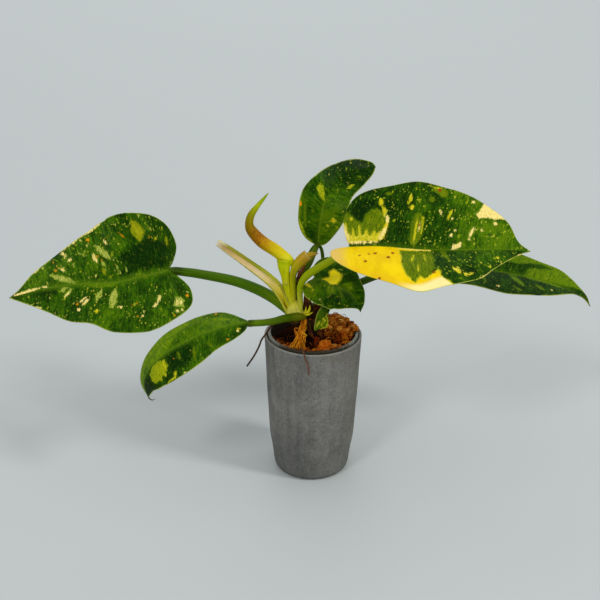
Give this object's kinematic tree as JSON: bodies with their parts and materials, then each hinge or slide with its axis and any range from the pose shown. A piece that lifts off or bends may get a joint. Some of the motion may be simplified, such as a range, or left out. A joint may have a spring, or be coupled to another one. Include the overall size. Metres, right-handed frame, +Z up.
{
  "type": "potted variegated green congo philodendron",
  "caption": "Young variegated philodendron with long glossy green and cream leaves on curved stalks, in a tall round matte grey cover pot.",
  "frame": {"origin": "centre of the flat foot of the cover pot, where it stands on the surface", "axes": "+Z up along the pot's axis, -Y towards the camera, +X to the camera's right, along the long spread of the leaves"},
  "size_m": [0.5942, 0.1887, 0.3222],
  "materials": {
    "cement": "matte",
    "pot_plastic": "translucent matte",
    "coir": "rough",
    "stem_bark": "rough",
    "leaf_dark": "glossy",
    "leaf_mid": "glossy",
    "stalk_green": "satin",
    "stalk_olive": "satin",
    "spike_yellow": "satin",
    "sheath_beige": "dry",
    "root_brown": "rough",
    "root_gold": "rough"
  },
  "bodies": {
    "root": {"cover_pot": "cement", "nursery_pot": "pot_plastic", "substrate": "coir", "stem": "stem_bark", "blade_left": "leaf_dark", "blade_right": "leaf_dark", "blade_low_left": "leaf_mid", "blade_top": "leaf_dark", "blade_back_right": "leaf_mid", "blade_small": "leaf_dark", "blade_tiny": "leaf_mid", "petiole_left": "stalk_green", "petiole_right": "stalk_olive", "petiole_low_left": "stalk_green", "petiole_top": "stalk_green", "petiole_back_right": "stalk_green", "petiole_small": "stalk_green", "petiole_tiny": "stalk_green", "new_leaf": "spike_yellow", "new_leaf_stalk": "stalk_olive", "sheath_left": "sheath_beige", "sheath_middle": "stalk_olive", "side_shoot": "stalk_olive", "root_left": "root_brown", "root_front": "root_brown", "root_tuft": "root_gold"}
  },
  "joints": []
}
